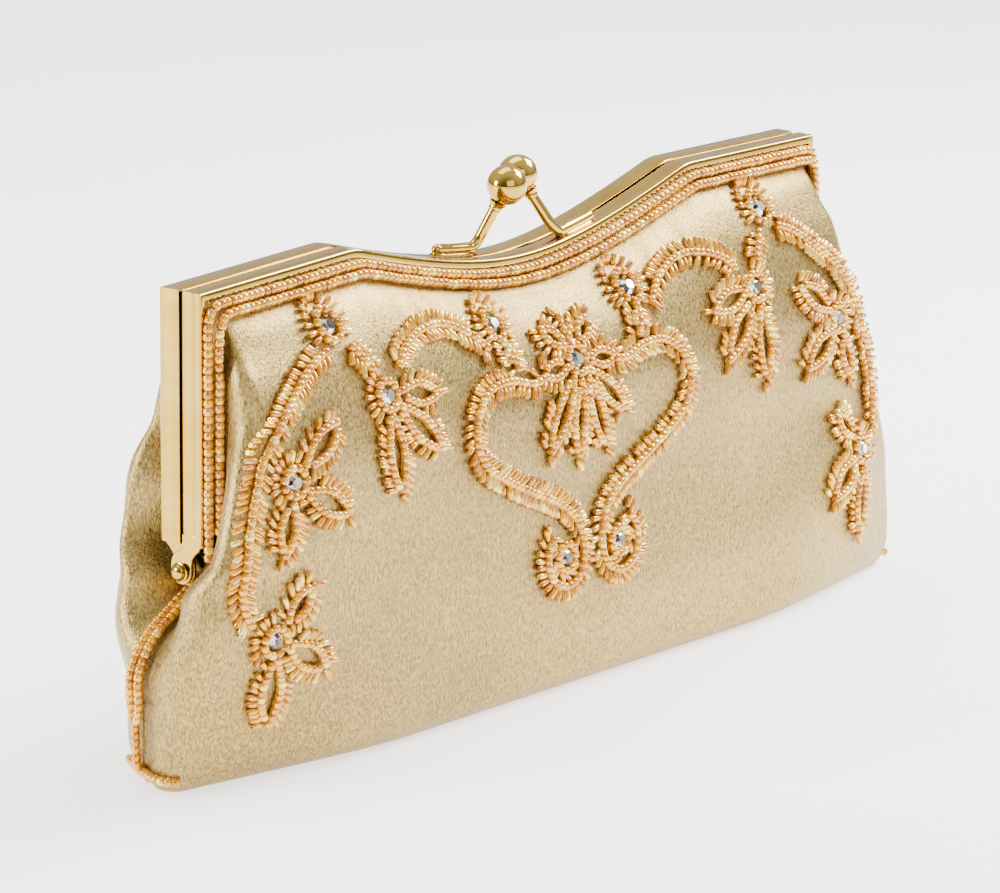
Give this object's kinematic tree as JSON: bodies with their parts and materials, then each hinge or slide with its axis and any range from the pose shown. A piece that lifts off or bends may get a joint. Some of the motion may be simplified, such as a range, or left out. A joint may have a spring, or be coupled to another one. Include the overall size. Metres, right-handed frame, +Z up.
{
  "type": "evening_bag",
  "caption": "Satin evening clutch with a hinged kiss-lock metal frame, soft padded pouch and beaded floral embroidery on the front.",
  "frame": {"origin": "on the plane of the flat base, under the middle of the hinge line and the slit between the frame halves", "axes": "+X along the bag from the left hinge to the right, +Y from the beaded front to the plain back, +Z up"},
  "size_m": [0.2602, 0.0563, 0.1207],
  "materials": {
    "champagne_satin": "soft champagne satin with a bright sheen",
    "polished_gold": "polished gold-coloured metal",
    "amber_beads": "iridescent amber glass beads",
    "crystal": "clear faceted stones",
    "paper_cord": "matt twisted paper",
    "wadding": "matt felted padding",
    "lining_cloth": "plain dull lining cloth"
  },
  "bodies": {
    "pouch": {"lower_shell": "champagne_satin", "lower_interlining": "wadding", "lower_lining": "lining_cloth", "front_fold": "champagne_satin", "rear_fold": "champagne_satin", "hinge_rivet_left": "polished_gold", "rivet_washer_left": "polished_gold", "side_seam_beads_left": "amber_beads", "heart_left": "amber_beads", "low_leaves_left": "amber_beads", "crystal_low_leaves_left": "crystal", "crystal_loop_left": "crystal", "hinge_rivet_right": "polished_gold", "rivet_washer_right": "polished_gold", "side_seam_beads_right": "amber_beads", "heart_right": "amber_beads", "low_leaves_right": "amber_beads", "crystal_low_leaves_right": "crystal", "crystal_loop_right": "crystal"},
    "front_frame": {"frame_front": "polished_gold", "front_panel": "champagne_satin", "front_interlining": "wadding", "front_lining": "lining_cloth", "front_packing_cord": "paper_cord", "clasp_arm_front": "polished_gold", "clasp_collar_front": "polished_gold", "clasp_ball_front": "polished_gold", "frame_beads_outer": "amber_beads", "frame_beads_inner": "amber_beads", "centre_flower": "amber_beads", "crystal_centre": "crystal", "inner_vine_left": "amber_beads", "outer_vine_left": "amber_beads", "top_flower_left": "amber_beads", "mid_leaves_left": "amber_beads", "inner_flower_left": "amber_beads", "side_leaves_left": "amber_beads", "crystal_top_flower_left": "crystal", "crystal_mid_leaves_left": "crystal", "crystal_inner_flower_left": "crystal", "crystal_side_leaves_left": "crystal", "inner_vine_right": "amber_beads", "outer_vine_right": "amber_beads", "top_flower_right": "amber_beads", "mid_leaves_right": "amber_beads", "inner_flower_right": "amber_beads", "side_leaves_right": "amber_beads", "crystal_top_flower_right": "crystal", "crystal_mid_leaves_right": "crystal", "crystal_inner_flower_right": "crystal", "crystal_side_leaves_right": "crystal"},
    "rear_frame": {"frame_rear": "polished_gold", "rear_panel": "champagne_satin", "rear_interlining": "wadding", "rear_lining": "lining_cloth", "rear_packing_cord": "paper_cord", "clasp_arm_rear": "polished_gold", "clasp_collar_rear": "polished_gold", "clasp_ball_rear": "polished_gold"}
  },
  "joints": [
    {"name": "front_opening", "type": "hinge", "parent": "pouch", "child": "front_frame", "pos_m": [0, 0, 0.04675], "axis": [1, 0, 0], "range_deg": [0, 32], "deforming": ["front_fold", "heart_left", "heart_right", "outer_vine_left", "outer_vine_right", "mid_leaves_left", "mid_leaves_right", "side_leaves_left", "side_leaves_right", "centre_flower"]},
    {"name": "rear_opening", "type": "hinge", "parent": "pouch", "child": "rear_frame", "pos_m": [0, 0, 0.04675], "axis": [1, 0, 0], "range_deg": [-32, 0], "deforming": ["rear_fold"]}
  ],
  "couplings": [
    {"joint": "rear_opening", "follows": "front_opening", "ratio": -1}
  ]
}
